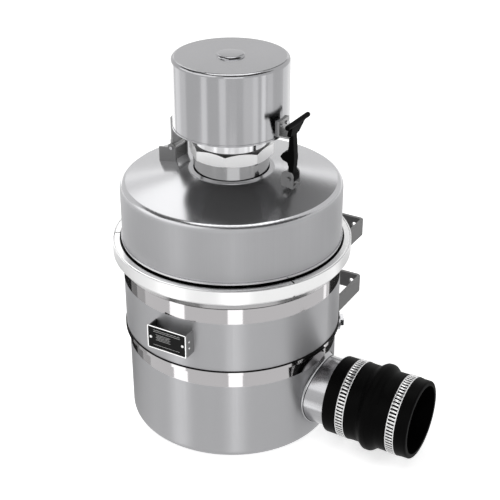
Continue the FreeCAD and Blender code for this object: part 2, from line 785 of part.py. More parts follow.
def hinge():
    lug_inside = "(leaf_width / 2 + rest_gap)"
    lug_outside = "(%s + lug_wall)" % lug_inside
    across = {"x": "-hinge_reach", "z": "hinge_height"}
    lugs = []
    for name, start in (("near", "-" + lug_outside), ("far", lug_inside)):
        plate = raised(name + "_lug_plate", "XZ_Plane", [
            ("-lug_end", "lid_shoulder"), ("-hinge_reach + lug_eye_radius", "lid_shoulder"),
            ("-hinge_reach + lug_eye_radius", "hinge_height"), ("-hinge_reach", "hinge_height"),
            ("-lug_end", "hinge_height - lug_drop_height"),
        ], "lug_wall")
        place(plate, y=start + " + lug_wall / 2")
        eye = cylinder(name + "_lug_eye", "lug_eye_radius", "lug_wall", y=start, **across, **ALONG_Y)
        lugs += [plate, eye]
    foot = block("hinge_foot", "lug_end - hinge_reach + lug_eye_radius", "2 * " + lug_inside,
                 cone_height("lug_end") + " + 2 * foot_wall - lid_shoulder",
                 x="-lug_end", y="-" + lug_inside, z="lid_shoulder")
    pin_hole = cylinder("hinge_pin_hole", "hinge_pin_radius", "4 * leaf_width",
                        y="-2 * leaf_width", **across, **ALONG_Y)
    keep(cut("hinge_base", joined("hinge_base_blank", foot, *lugs), lid_cone_tool("hinge_seat"), pin_hole),
         "hinge_base")
    pin_half = "(%s + pin_end_length)" % lug_outside
    keep(cylinder("hinge_pin", "hinge_pin_radius", "2 * " + pin_half, y="-" + pin_half, **across,
                  **ALONG_Y), "hinge_pin")
    barrel = cylinder("leaf_barrel", "barrel_radius", "leaf_width", y="-leaf_width / 2", **across, **ALONG_Y)
    leaf_out = "-hinge_reach - leaf_wall"
    seat_out = "-cap_radius - leaf_wall"
    joggle_top = "leaf_joggle + hinge_reach - cap_radius + leaf_wall"
    plate = raised("leaf_plate", "XZ_Plane", [
        (leaf_out, "hinge_height"), (leaf_out, "leaf_joggle"), (seat_out, joggle_top),
        (seat_out, "leaf_top"), ("-cap_radius + leaf_wall", "leaf_top"),
        ("-cap_radius + leaf_wall", joggle_top + " - leaf_wall"),
        ("-hinge_reach", "leaf_joggle - leaf_wall / 2"), ("-hinge_reach", "hinge_height"),
    ], "leaf_width")
    cap_space = cylinder("leaf_seat", "cap_radius", "cap_height", z="cap_rim + rim_height")
    rim_space = cylinder("leaf_rim_seat", "cap_radius + rim_depth", "2 * rim_height",
                         z="cap_rim - rim_height")
    bore = cylinder("leaf_bore", "hinge_pin_radius + running_gap", "2 * leaf_width",
                    y="-leaf_width", **across, **ALONG_Y)
    keep(cut("hinge_leaf", joined("hinge_leaf_blank", barrel, plate), cap_space, rim_space, bore),
         "hinge_leaf")
    rivets = []
    for name, height in (("upper", "leaf_top - leaf_rivet_inset"),
                         ("lower", "leaf_top - leaf_rivet_inset - leaf_rivet_gap")):
        rivets.append(cylinder(name + "_leaf_rivet", "rivet_radius", "rivet_height",
                               x=seat_out + " - rivet_height", z=height, **ALONG_X))
    keep(grouped("leaf_rivets", *rivets), "leaf_rivets")


def latch_clevis():
    foot_half = "(latch_foot_width / 2 + rest_gap)"
    ear_outside = "(%s + ear_wall)" % foot_half
    across = {"x": "latch_reach", "z": "latch_pin_height"}
    ear_centre = {"x": "latch_reach - ear_lean_width", "z": "latch_pin_height + ear_lift_height"}
    inner_edge = ear_centre["x"] + " - ear_radius"
    ears = []
    for name, start in (("near", "-" + ear_outside), ("far", foot_half)):
        ears.append(cylinder(name + "_ear_top", "ear_radius", "ear_wall", y=start, **ear_centre, **ALONG_Y))
        ears.append(block(name + "_ear", "2 * ear_radius", "ear_wall", ear_centre["z"] + " - lid_shoulder",
                          x=inner_edge, y=start, z="lid_shoulder"))
    foot = block("clevis_foot", "2 * ear_radius", "2 * " + foot_half,
                 cone_height(inner_edge) + " + foot_wall / 2 - lid_shoulder",
                 x=inner_edge, y="-" + foot_half, z="lid_shoulder")
    hole = cylinder("latch_pin_hole", "latch_pin_radius", "4 * latch_foot_width",
                    y="-2 * latch_foot_width", **across, **ALONG_Y)
    keep(cut("latch_clevis", joined("clevis_blank", foot, *ears), lid_cone_tool("clevis_seat"), hole),
         "latch_clevis")
    pin_half = "(%s + pin_end_length)" % ear_outside
    keep(cylinder("latch_pin", "latch_pin_radius", "2 * " + pin_half, y="-" + pin_half, **across,
                  **ALONG_Y), "latch_pin")


def latch_handle():
    across = {"x": "latch_reach", "z": "latch_pin_height"}
    out = "(latch_reach + strap_thickness / 2)"
    back = "(latch_reach - strap_thickness / 2)"
    middle = "(latch_pin_height + bump_height)"
    blade_side = [(out, "blade_base"), ("grip_reach + grip_radius - blade_inset", "grip_height"),
                  ("grip_reach - grip_radius + blade_inset", "grip_height"), (back, "blade_base")]
    strap = raised("latch_strap", "XZ_Plane", [
        (out, "latch_pin_height"), (out + " + strap_swell_width", middle), *blade_side,
        (back, middle + " + bump_upper_length"),
        (back + " - bump_side_reach", middle + " + bump_upper_side"),
        (back + " - bump_reach", middle),
        (back + " - bump_side_reach", middle + " - bump_lower_side"),
        (back, middle + " - bump_lower_length"), (back, "latch_pin_height"),
    ], "latch_width")
    bulb = cylinder("latch_bulb", "latch_bulb_radius", "latch_foot_width", y="-latch_foot_width / 2",
                    **across, **ALONG_Y)
    grip = cylinder("latch_grip", "grip_radius", "grip_length", x="grip_reach", y="-grip_length / 2",
                    z="grip_height", **ALONG_Y)
    web = raised("latch_web", "YZ_Plane", [
        ("-blade_foot_width / 2", "blade_base"), ("blade_foot_width / 2", "blade_base"),
        ("blade_top_width / 2", "grip_height"), ("-blade_top_width / 2", "grip_height"),
    ], "4 * strap_thickness")
    place(web, x="latch_reach")
    blade = raised("latch_blade", "XZ_Plane", blade_side, "grip_length")
    shaped = doc.addObject("Part::Common", "latch_shoulder")
    shaped.Base = web
    shaped.Tool = blade
    bore = cylinder("latch_bore", "latch_pin_radius + running_gap", "2 * latch_foot_width",
                    y="-latch_foot_width", **across, **ALONG_Y)
    keep(cut("latch_handle", joined("latch_handle_blank", strap, bulb, grip, shaped), bore), "latch_handle")


def keeper():
    out = "cap_radius + keeper_wall"
    sunk = "cap_radius - keeper_wall"
    shelf_top = "keeper_shelf + keeper_wall"
    bent = raised("keeper_plate", "XZ_Plane", [
        (sunk, "keeper_shelf"), ("latch_reach", "keeper_shelf"), ("latch_reach", shelf_top),
        (out, shelf_top), (out, "keeper_top"), (sunk, "keeper_top"),
    ], "keeper_width")
    slot = block("keeper_slot_space", "2 * latch_reach", "keeper_slot_width", "3 * keeper_wall",
                 x="latch_reach - strap_thickness / 2 - keeper_slot_gap", y="-keeper_slot_width / 2",
                 z="keeper_shelf - keeper_wall")
    cap_space = cylinder("keeper_seat", "cap_radius", "cap_height", z="cap_rim + rim_height / 2")
    keep(cut("latch_keeper", bent, slot, cap_space), "latch_keeper")
    rivets = [cylinder(name + "_keeper_rivet", "rivet_radius", "rivet_height", x=out,
                       y=side + "keeper_width / 4", z="keeper_top - keeper_rivet_inset", **ALONG_X)
              for name, side in (("near", "-"), ("far", ""))]
    keep(grouped("keeper_rivets", *rivets), "keeper_rivets")


def level_ring(label, inside, outside, start, end):
    """A ring about the outlet's axis, between two distances from the canister's centre."""
    ring = turned(label, [(start, inside), (end, inside), (end, outside), (start, outside)], about="H_Axis")
    place(ring, z="outlet_height")
    return keep(ring, label)


def outlet():
    level_ring("outlet_tube", "outlet_inside", "outlet_radius", "outlet_start", "outlet_start + tube_length")
    saddle_end = "sleeve_start - saddle_gap"
    saddle = turned("saddle_blank", [
        ("outlet_start", "outlet_radius"), (saddle_end, "outlet_radius"),
        (saddle_end, "outlet_radius + outlet_wall"),
        ("lower_radius + saddle_neck_length", "outlet_radius + saddle_neck_wall"),
        ("outlet_start", "saddle_radius"),
    ], about="H_Axis")
    place(saddle, z="outlet_height")
    shell_space = cylinder("saddle_seat", "lower_radius", "lip_height")
    keep(cut("outlet_saddle", saddle, shell_space), "outlet_saddle")
    crown = "sleeve_radius + hump_height"
    sleeve = turned("outlet_sleeve", [
        ("sleeve_start", "outlet_radius"), ("sleeve_start", "sleeve_radius"),
        ("hump_start - hump_side_length", "sleeve_radius"), ("hump_start", crown),
        ("hump_end", crown), ("hump_end + hump_side_length", "sleeve_radius"),
        ("sleeve_end", "sleeve_radius"), ("sleeve_end", "outlet_radius"),
        ("hump_end + hump_side_length - hump_fold_length", "outlet_radius"),
        ("hump_end", "outlet_radius + hump_height"), ("hump_start", "outlet_radius + hump_height"),
        ("hump_start - hump_side_length + hump_fold_length", "outlet_radius"),
    ], about="H_Axis")
    round_edges(sleeve, "sleeve_crown", "hump_round", [(crown, "hump_start"), (crown, "hump_end")])
    place(sleeve, z="outlet_height")
    keep(sleeve, "outlet_sleeve")


def sleeve_clamps():
    band_outside = "(sleeve_radius + clamp_wall)"
    housings = []
    screws = []
    for name, centre in (("inner_sleeve_clamp", "(sleeve_start + inner_clamp_inset)"),
                         ("outer_sleeve_clamp", "(sleeve_end - outer_clamp_inset)")):
        level_ring(name, "sleeve_radius", band_outside, centre + " - clamp_width / 2",
                   centre + " + clamp_width / 2")
        housing = block(name + "_housing", "housing_width", "housing_height", "housing_length",
                        x=centre + " - housing_width / 2", y=band_outside + " - housing_sink_depth",
                        z="outlet_height - housing_length / 2")
        band_space = cylinder(name + "_seat", band_outside, "2 * housing_width",
                              x=centre + " - housing_width", z="outlet_height", **ALONG_X)
        worm = {"x": centre, "y": band_outside + " + housing_height / 2 - worm_drop_height",
                "z": "outlet_height - worm_length / 2"}
        worm_space = cylinder(name + "_worm_space", "worm_radius", "worm_length", **worm)
        housings.append(cut(name + "_box", housing, band_space, worm_space))
        screws.append(cylinder(name + "_screw", "worm_radius", "worm_length", **worm))
    keep(grouped("clamp_housings", *housings), "clamp_housings")
    keep(grouped("clamp_screws", *screws), "clamp_screws")


def stand_off(name, half_width, face, wall, bend, height, middle, seat, side=""):
    """A strap bent to a U, open top and bottom, whose two legs end on the round canister."""
    inner = "(%s - %s)" % (half_width, wall)
    web = "(%s - %s)" % (face, wall)
    foot = "%s%s / 2" % (side, seat)
    body = raised(name + "_strap", "XY_Plane", [
        ("-" + half_width, foot), ("-" + half_width, side + face), (half_width, side + face),
        (half_width, foot), (inner, foot), (inner, side + web), ("-" + inner, side + web),
        ("-" + inner, foot),
    ], height)
    round_bends(body, name + "_outer_bends", bend + " + " + wall,
                [("-" + half_width, side + face), (half_width, side + face)])
    round_bends(body, name + "_inner_bends", bend,
                [("-" + inner, side + web), (inner, side + web)])
    place(body, z=middle)
    canister = cylinder(name + "_seat", seat, "2 * " + height, z=middle + " - " + height)
    return body, canister


def brackets():
    for name, middle, seat in (("upper_bracket", "bracket_upper", "shell_radius"),
                               ("lower_bracket", "bracket_lower", "lip_radius")):
        body, canister = stand_off(name, "bracket_half_width", "bracket_back", "bracket_wall",
                                   "bracket_bend", "bracket_height", middle, seat)
        reach = "(bracket_half_width - bracket_hole_inset)"
        holes = [cylinder(name + "_hole_" + word, "bracket_hole_radius", "4 * bracket_wall",
                          x=side + reach, y="bracket_back - 2 * bracket_wall", z=middle, **ALONG_Y)
                 for word, side in (("left", "-"), ("right", ""))]
        keep(cut(name, body, canister, *holes), name)


def nameplate():
    body, canister = stand_off("nameplate_bracket", "plate_half_width", "plate_face", "plate_wall",
                               "plate_bend", "plate_height", "plate_middle", "shell_radius", side="-")
    keep(cut("nameplate_bracket", body, canister), "nameplate_bracket")
    keep(block("nameplate", "2 * (plate_half_width - plate_margin)", "label_thickness",
               "plate_height - 2 * plate_margin", x="plate_margin - plate_half_width",
               y="-plate_face - label_thickness",
               z="plate_middle - plate_height / 2 + plate_margin"), "nameplate")
    rivets = [cylinder("label_rivet_" + word, "label_rivet_radius", "label_thickness",
                       x=side + "(plate_half_width - label_rivet_inset)",
                       y="-plate_face - 2 * label_thickness", z="plate_middle", **ALONG_Y)
              for word, side in (("left", "-"), ("right", ""))]
    keep(grouped("nameplate_rivets", *rivets), "nameplate_rivets")



canister_shells()
gauge_port()
filter_element()
lid()
inlet()
clamp_segments()
clamp_strap()
clamp_bolt()
cap()
hinge()
latch_clevis()
latch_handle()
keeper()
outlet()
sleeve_clamps()
brackets()
nameplate()
doc.recompute()

failed = [t.Name for t in doc.Objects if "Invalid" in t.State or "Error" in t.State]
if failed:
    raise RuntimeError("failed objects: " + ", ".join(failed))
os.makedirs("parts", exist_ok=True)
for piece in pieces:
    shape = piece.Shape
    if shape.isNull() or not shape.isValid():
        raise RuntimeError("bad shape " + piece.Label)
for piece in pieces:
    piece.Shape.exportStep("parts/%s.step" % piece.Label)
    box = piece.Shape.BoundBox
    print("%-20s solids %d  x %.1f %.1f  y %.1f %.1f  z %.1f %.1f" % (
        piece.Label, len(piece.Shape.Solids), box.XMin, box.XMax, box.YMin, box.YMax, box.ZMin, box.ZMax))
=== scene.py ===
import bmesh
import bpy
import math
from mathutils import Matrix, Vector


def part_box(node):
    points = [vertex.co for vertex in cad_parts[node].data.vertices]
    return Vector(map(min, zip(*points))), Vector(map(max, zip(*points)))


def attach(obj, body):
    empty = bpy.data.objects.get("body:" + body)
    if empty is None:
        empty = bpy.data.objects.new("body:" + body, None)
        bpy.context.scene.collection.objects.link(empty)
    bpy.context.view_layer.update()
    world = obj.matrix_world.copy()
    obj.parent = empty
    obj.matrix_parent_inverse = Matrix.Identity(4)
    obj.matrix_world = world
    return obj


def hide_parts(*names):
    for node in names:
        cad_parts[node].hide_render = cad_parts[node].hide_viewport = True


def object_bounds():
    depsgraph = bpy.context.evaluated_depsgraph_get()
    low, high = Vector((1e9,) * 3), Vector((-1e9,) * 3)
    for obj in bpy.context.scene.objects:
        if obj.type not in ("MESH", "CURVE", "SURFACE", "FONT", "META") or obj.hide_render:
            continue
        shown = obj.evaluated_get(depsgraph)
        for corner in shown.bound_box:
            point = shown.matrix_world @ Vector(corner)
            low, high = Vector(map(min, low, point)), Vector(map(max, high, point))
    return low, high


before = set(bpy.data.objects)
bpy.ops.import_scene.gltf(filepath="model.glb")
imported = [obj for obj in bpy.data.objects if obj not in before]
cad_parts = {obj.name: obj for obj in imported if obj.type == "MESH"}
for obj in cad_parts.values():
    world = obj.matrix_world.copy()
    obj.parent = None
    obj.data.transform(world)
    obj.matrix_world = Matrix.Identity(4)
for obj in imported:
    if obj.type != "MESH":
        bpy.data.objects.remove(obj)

MM = 0.001
cad_low, cad_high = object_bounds()

# Camera. A long lens stands off the filter's front right corner and looks down on it,
# with the outlet coming forward on the right and the nameplate on the left.
view_azimuth = math.radians(30)
view_pitch = math.radians(28.3)
camera_distance = 1668.45 * MM
looked_at = Vector((22.6, 13.1, 261.4)) * MM
toward_camera = Vector((math.sin(view_azimuth) * math.cos(view_pitch),
                        -math.cos(view_azimuth) * math.cos(view_pitch), math.sin(view_pitch)))
camera = bpy.data.objects.new("camera", bpy.data.cameras.new("camera"))
camera.data.sensor_width = 36
camera.data.lens = 81.72
camera.data.clip_end = 20
camera.location = looked_at + toward_camera * camera_distance
camera.rotation_euler = toward_camera.to_track_quat("Z", "Y").to_euler()
bpy.context.collection.objects.link(camera)
bpy.context.scene.camera = camera
bpy.context.scene.view_settings.view_transform = "Standard"


# Studio. A matt white sheet lies under the filter and a plain white room is all round it.
# The sheet is painted, so it keeps a soft shadow and takes no gloss.
def linear(hexa):
    """An sRGB hex colour as the linear colour that a socket takes."""
    parts = [int(hexa[i:i + 2], 16) / 255 for i in (1, 3, 5)]
    return tuple(p / 12.92 if p <= 0.04045 else ((p + 0.055) / 1.055) ** 2.4 for p in parts) + (1,)


def add_node(tree, kind, inputs=None, **settings):
    """Adds a shader node; an input is a value or the output socket that feeds it."""
    made = tree.nodes.new("ShaderNode" + kind)
    for name, value in settings.items():
        setattr(made, name, value)
    for name, value in (inputs or {}).items():
        if isinstance(value, bpy.types.NodeSocket):
            tree.links.new(value, made.inputs[name])
        else:
            made.inputs[name].default_value = value
    return made


def blank_material(name):
    """A new material with no nodes yet, and its node tree."""
    made = bpy.data.materials.new(name)
    made.use_nodes = True
    made.node_tree.nodes.clear()
    return made, made.node_tree


def seen_by_lens_or_gloss(tree):
    """One where the ray comes from the lens or off a shiny or clear surface."""
    path = add_node(tree, "LightPath")
    both = add_node(tree, "Math", {0: path.outputs["Is Camera Ray"], 1: path.outputs["Is Glossy Ray"]},
                    operation="MAXIMUM")
    return add_node(tree, "Math", {0: both.outputs[0], 1: path.outputs["Is Transmission Ray"]},
                    operation="MAXIMUM").outputs[0]


def link_object(obj):
    bpy.context.collection.objects.link(obj)
    return obj


room = bpy.data.worlds.new("white_room")
room.use_nodes = True
room.node_tree.nodes.clear()
soft_fill = add_node(room.node_tree, "Background", {"Color": (1, 1, 1, 1), "Strength": 0.55})
white_wall = add_node(room.node_tree, "Background", {"Color": (1, 1, 1, 1), "Strength": 1})
room_mix = add_node(room.node_tree, "MixShader", {0: seen_by_lens_or_gloss(room.node_tree),
                                                  1: soft_fill.outputs[0], 2: white_wall.outputs[0]})
add_node(room.node_tree, "OutputWorld", {"Surface": room_mix.outputs[0]})
bpy.context.scene.world = room

floor_paint, floor_tree = blank_material("matt_white_paint")
floor_matt = add_node(floor_tree, "BsdfDiffuse", {"Color": linear("#F4F4F4")})
floor_glow = add_node(floor_tree, "Emission", {"Color": (1, 1, 1, 1), "Strength": 0.6})
floor_both = add_node(floor_tree, "AddShader", {0: floor_matt.outputs[0], 1: floor_glow.outputs[0]})
floor_mix = add_node(floor_tree, "MixShader", {0: seen_by_lens_or_gloss(floor_tree),
                                               1: floor_matt.outputs[0], 2: floor_both.outputs[0]})
add_node(floor_tree, "OutputMaterial", {"Surface": floor_mix.outputs[0]})
floor_half = 6
floor_mesh = bpy.data.meshes.new("floor")
floor_mesh.from_pydata([(-floor_half, -floor_half, 0), (floor_half, -floor_half, 0),
                        (floor_half, floor_half, 0), (-floor_half, floor_half, 0)], [], [(0, 1, 2, 3)])
floor_mesh.materials.append(floor_paint)
floor = link_object(bpy.data.objects.new("floor", floor_mesh))
floor.location.z = cad_low.z - 0.2 * MM
floor.visible_glossy = False


def studio_lamp(name, place, size, power):
    """A soft square lamp that looks at the filter."""
    lamp = bpy.data.lights.new(name, "AREA")
    lamp.shape = "SQUARE"
    lamp.size = size
    lamp.energy = power
    obj = link_object(bpy.data.objects.new(name, lamp))
    obj.location = place
    obj.rotation_euler = (Vector(place) - looked_at).to_track_quat("Z", "Y").to_euler()
    obj.visible_glossy = False


studio_lamp("overhead_lamp", (-0.6, -0.7, 2.4), 1.6, 22)
studio_lamp("front_lamp", (1.5, -2.2, 1.6), 1.4, 14)


def round_the_filter(angle, distance):
    """A place on a circle round the filter; the angle is counted from the camera to the right."""
    turn = view_azimuth + math.radians(angle)
    return Vector((math.sin(turn) * distance, -math.cos(turn) * distance, 0))


def reflection_card(name, points, faces, strength):
    """A card that shows only in shiny surfaces: white gives a light streak, black a dark one."""
    paint, tree = blank_material(name)
    glow = add_node(tree, "Emission", {"Color": (1, 1, 1, 1), "Strength": strength})
    add_node(tree, "OutputMaterial", {"Surface": glow.outputs[0]})
    mesh = bpy.data.meshes.new(name)
    mesh.from_pydata(points, [], faces)
    mesh.materials.append(paint)
    card = link_object(bpy.data.objects.new(name, mesh))
    card.visible_camera = False
    card.visible_diffuse = False
    card.visible_shadow = False
    card.visible_transmission = False


degrees_a_pane = 8


def upright_cards(name, distance, bottom, top, *rows):
    """Tall cards on a circle round the filter; a row gives each one's left and right angle and strength."""
    for number, (left, right, strength) in enumerate(rows):
        steps = max(1, round((right - left) / degrees_a_pane))
        feet = [round_the_filter(left + (right - left) * i / steps, distance) for i in range(steps + 1)]
        points = [foot + Vector((0, 0, lift)) for lift in (bottom, top) for foot in feet]
        wide = steps + 1
        faces = [(i, i + 1, wide + i + 1, wide + i) for i in range(steps)]
        reflection_card("%s_%d" % (name, number), points, faces, strength)


# The camera looks down, so upright walls mirror what hangs low. The canister's cards hang under the floor,
# which shows in no reflection, and the cap's own cards are small and near. The sloping lid mirrors the cards
# high behind the filter, and rolled edges and the top of the outlet mirror the card overhead.
upright_cards("canister_card", 2.5, -2.1, -0.7, (-66, -49, 2.3), (-4, 11, 2.3), (110, 115, 1.9))
upright_cards("canister_flag", 2.5, -1.68, -1.08, (-116, -101, 0.65), (-130, -116, 0.3), (-172, -130, 0.02),
              (124, 165, 0.03))
upright_cards("cap_card", 0.6, 0.19, 0.42, (-158, -133, 2.0), (-126, -108, 1.6), (-108, -90, 1.3),
              (-54, -43, 1.6), (-20, -8, 1.5), (23, 41, 1.25), (41, 51, 1.5), (58, 67, 1.8), (70, 84, 1.3),
              (112, 152, 1.35))
upright_cards("lid_card", 2.0, 1.5, 2.9, (-191.4, -185, 0.16), (-175, -171, 0.16), (-171, -158, 2.1))
upright_cards("right_lid_card", 2.0, 1.32, 2.9, (-201, -191.4, 0.16))
upright_cards("low_card", 2.0, 1.09, 1.24, (-201, -189, 2.0), (-169.5, -158, 1.9))
upright_cards("high_card", 2.0, 1.95, 2.9, (-185, -175, 0.2))
upright_cards("front_card", 2.0, 0.3, 1.4, (-12, 24, 2.0))
upright_cards("left_card", 2.0, 0.9, 2.6, (-112, -28, 1.9))
upright_cards("front_flag", 1.4, 1.45, 2.4, (-15, 100, 0.04))
upright_cards("high_flag", 1.0, 1.75, 3.0, (-170, 100, 0.04))
upright_cards("side_flag", 1.0, 1.25, 1.75, (-145, -80, 0.1))
overhead_height = 2.4
overhead = [round_the_filter(angle, reach) + Vector((0, 0, overhead_height)) for angle, reach in
            ((-90, 0.7), (90, 0.7), (150, 1.4), (-150, 1.4))]
reflection_card("overhead_card", overhead, [(0, 1, 2, 3)], 3.0)


# Canister. The lower pan is drawn and the upper shell rolled from stainless steel sheet with a fine brushed
# grain, which spreads each reflection into a soft upright streak. The belts above and below the lip and
# under the clamp band are left bright, and thin lines of painted shadow darken the shell along the joints.
def object_place(tree):
    return add_node(tree, "TexCoord").outputs["Object"]


def along(tree, axis):
    """The place along one axis, in metres from the filter's origin."""
    return add_node(tree, "SeparateXYZ", {0: object_place(tree)}).outputs[axis]


def belt_mask(tree, place, belts, soft):
    """One between each pair of places and nought outside them, with soft edges."""
    total = 0.0
    for start, end in belts:
        rise, fall = (add_node(tree, "MapRange", {"Value": place, "From Min": dark, "From Max": light})
                      for dark, light in ((start - soft, start + soft), (end + soft, end - soft)))
        both = add_node(tree, "Math", {0: rise.outputs[0], 1: fall.outputs[0]}, operation="MULTIPLY")
        total = add_node(tree, "Math", {0: both.outputs[0], 1: total}, operation="ADD").outputs[0]
    return total


def blend_colours(tree, amount, first, second):
    mix = add_node(tree, "Mix", {"Factor": amount}, data_type="RGBA")
    for place, colour in ((6, first), (7, second)):
        if isinstance(colour, bpy.types.NodeSocket):
            tree.links.new(colour, mix.inputs[place])
        else:
            mix.inputs[place].default_value = colour
    return mix.outputs[2]


cloud_width = 45 * MM
edge_round = 0.4 * MM
painted_shade_softness = 0.35 * MM


def metal(name, tone, roughness, grain=0.9 * MM, run=260 * MM, streak=0.02, anisotropic=0.0, axis="Z",
          bright_belts=(), bright_tone=None, bright_roughness=0.07, painted_shade_belts=(), painted_shade_tone="#2A2A2A",
          belt_softness=0.5 * MM, metallic=1.0):
    """A bare metal: fine lines along an axis, polished belts, belts of painted shade and softly worn edges.

    The grain of 0.9 mm is coarser than real brushing, so that it shows; run is how long its lines are.
    """
    made, tree = blank_material(name)
    stretch = tuple(1 / run if letter == axis else 1 / grain for letter in "XYZ")
    lines = add_node(tree, "Mapping", {"Vector": object_place(tree), "Scale": stretch})
    brushing = add_node(tree, "TexNoise", {"Vector": lines.outputs[0], "Scale": 1.0, "Detail": 2.0})
    cloud = add_node(tree, "TexNoise", {"Vector": object_place(tree), "Scale": 1 / cloud_width,
                                        "Detail": 3.0})
    both = add_node(tree, "Math", {0: brushing.outputs["Fac"], 1: cloud.outputs["Fac"]}, operation="ADD")
    spread = add_node(tree, "MapRange", {"Value": both.outputs[0], "From Min": 0.6, "From Max": 1.4})
    light = tuple(min(1, part * (1 + streak)) for part in linear(tone)[:3]) + (1,)
    dark = tuple(part * (1 - streak) for part in linear(tone)[:3]) + (1,)
    colour = blend_colours(tree, spread.outputs[0], dark, light)
    rough = add_node(tree, "MapRange", {"Value": brushing.outputs["Fac"], "From Min": 0.3, "From Max": 0.7,
                                        "To Min": roughness * 0.9, "To Max": roughness * 1.1}).outputs[0]
    spun = anisotropic
    if bright_belts:
        bright = belt_mask(tree, along(tree, axis), bright_belts, belt_softness)
        colour = blend_colours(tree, bright, colour, linear(bright_tone))
        polish = {"Value": bright, "To Min": rough, "To Max": bright_roughness}
        rough = add_node(tree, "MapRange", polish).outputs[0]
        unspun = {"Value": bright, "To Min": anisotropic, "To Max": 0.0}
        spun = add_node(tree, "MapRange", unspun).outputs[0]
    # Painted shade: inside these belts the colour is darkened, standing in for shadow along joints and in
    # recesses.
    if painted_shade_belts:
        painted_shade = belt_mask(tree, along(tree, axis), painted_shade_belts, painted_shade_softness)
        colour = blend_colours(tree, painted_shade, colour, linear(painted_shade_tone))
    worn_edge = add_node(tree, "Bevel", {"Radius": edge_round}, samples=4)
    inputs = {"Base Color": colour, "Metallic": metallic, "Roughness": rough, "Anisotropic": spun,
              "Normal": worn_edge.outputs[0]}
    if anisotropic:
        inputs["Anisotropic Rotation"] = 0.25
        inputs["Tangent"] = add_node(tree, "Tangent", direction_type="RADIAL", axis=axis).outputs[0]
    body = add_node(tree, "BsdfPrincipled", inputs)
    add_node(tree, "OutputMaterial", {"Surface": body.outputs[0]})
    return made


def finish(material, *names):
    """Gives CAD nodes their material."""
    for name in names:
        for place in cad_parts[name].material_slots:
            place.material = material


pan_belt = (126 * MM, 150 * MM)
lip_belt = (140 * MM, 154 * MM)
shell_belt = (232 * MM, 258 * MM)
# Thin lines of painted shadow, at the top of the lip and under the clamp ring.
lip_painted_shadow = (153.5 * MM, 155.6 * MM)
ring_painted_shadow = (255.3 * MM, 258.6 * MM)
pan_steel = metal("brushed_drawn_stainless", "#AAAAAC", 0.4, anisotropic=0.75, bright_belts=[pan_belt],
                  bright_tone="#B6B4B5")
finish(pan_steel, "lower_shell")
shell_steel = metal("brushed_rolled_stainless", "#AAAAAC", 0.4, anisotropic=0.75,
                    bright_belts=[lip_belt, shell_belt], bright_tone="#B6B4B5",
                    painted_shade_belts=[lip_painted_shadow, ring_painted_shadow])
finish(shell_steel, "upper_shell", "body_flange")
# The gauge boss is turned, so it shines evenly, with no streaks.
finish(metal("turned_stainless_boss", "#B0B0B2", 0.3), "gauge_boss")


# Lid. It is spun from stainless steel sheet, and the clamp band holds it on. Its top is polished but a little
# worn, so it mirrors softly and its dark parts stay grey. Its skirt is brushed like the canister, and the
# skirt's foot is rolled to a bright bead over the dark joint.
lid_bead = (293 * MM, 298 * MM)
lid_top = (376 * MM, 400 * MM)
lid_steel = metal("brushed_spun_stainless", "#A8A8AA", 0.5, anisotropic=0.6, bright_belts=[lid_bead, lid_top],
                  bright_tone="#B8B8BA", bright_roughness=0.18, belt_softness=1.5 * MM, metallic=0.9)
finish(lid_steel, "lid_shell")
# The lid's flange lies deep in the joint, where almost no light reaches it.
finish(metal("shaded_joint_steel", "#141414", 0.6), "lid_flange")


# Clamp band. Three bent steel segments grip the flanges, and a wide strap of bright rolled steel pulls them
# tight with a T-bolt at the back. Below the strap the segments' lower leg shows as a bevel, and above it
# their upper leg carries a thin painted highlight, a lighter colour with the same roughness.
strap_steel = metal("bright_rolled_strap", "#EEEEEE", 0.33, streak=0.006)
finish(strap_steel, "clamp_strap")
# Painted highlight: along the upper leg the colour is lighter, where light catches its top edge.
upper_leg_painted_highlight = (288 * MM, 292 * MM)
segment_steel = metal("bent_segment_steel", "#DADADA", 0.3, bright_belts=[upper_leg_painted_highlight], bright_tone="#F4F4F4",
                      bright_roughness=0.3)
finish(segment_steel, "front_segment", "left_segment", "right_segment")


def threaded(name, tone, pitch, axis):
    """Bright turned steel with a screw thread cut along an axis."""
    made = metal(name, tone, 0.25)
    tree = made.node_tree
    turns = add_node(tree, "Math", {0: along(tree, axis), 1: 2 * math.pi / pitch}, operation="MULTIPLY")
    wave = add_node(tree, "Math", {0: turns.outputs[0]}, operation="SINE")
    bump = add_node(tree, "Bump", {"Height": wave.outputs[0], "Strength": 0.9, "Distance": pitch / 3})
    body = next(node for node in tree.nodes if node.type == "BSDF_PRINCIPLED")
    tree.links.new(bump.outputs[0], body.inputs["Normal"])
    return made


thread_pitch = 1.25 * MM
finish(threaded("threaded_bolt_steel", "#C2C2C4", thread_pitch, "X"), "t_bolt")
# Nuts, pins, rivets and worm screws are turned, so they catch small bright glints.
finish(metal("turned_fastener_steel", "#C4C4C6", 0.2), "bolt_saddle", "clamp_nut", "clamp_housings",
       "clamp_screws", "gauge_plug", "hinge_pin", "leaf_rivets", "keeper_rivets")


# Inlet. A milled octagonal coupling sits on the lid's neck and carries the adapter tube under the cap. Both
# are steel polished nearly white, and the coupling's foot is like a mirror. They are kept out of reflections,
# because on the lid they would hide its dark sweep.
finish(metal("polished_inlet_steel", "#CFCFD1", 0.13), "neck_pipe", "inlet_adapter")
finish(metal("rolled_collar_steel", "#A8A8AA", 0.2), "neck_collar")
coupling_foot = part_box("inlet_coupling")[0].z
foot_height = 21 * MM
foot_belt = (coupling_foot - 5 * MM, coupling_foot + foot_height)
finish(metal("milled_coupling_steel", "#E2E2E2", 0.35, bright_belts=[foot_belt], bright_tone="#B4B4B4",
             bright_roughness=0.07), "inlet_coupling")
for name in ("inlet_coupling", "inlet_adapter", "neck_collar", "neck_pipe"):
    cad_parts[name].visible_glossy = False


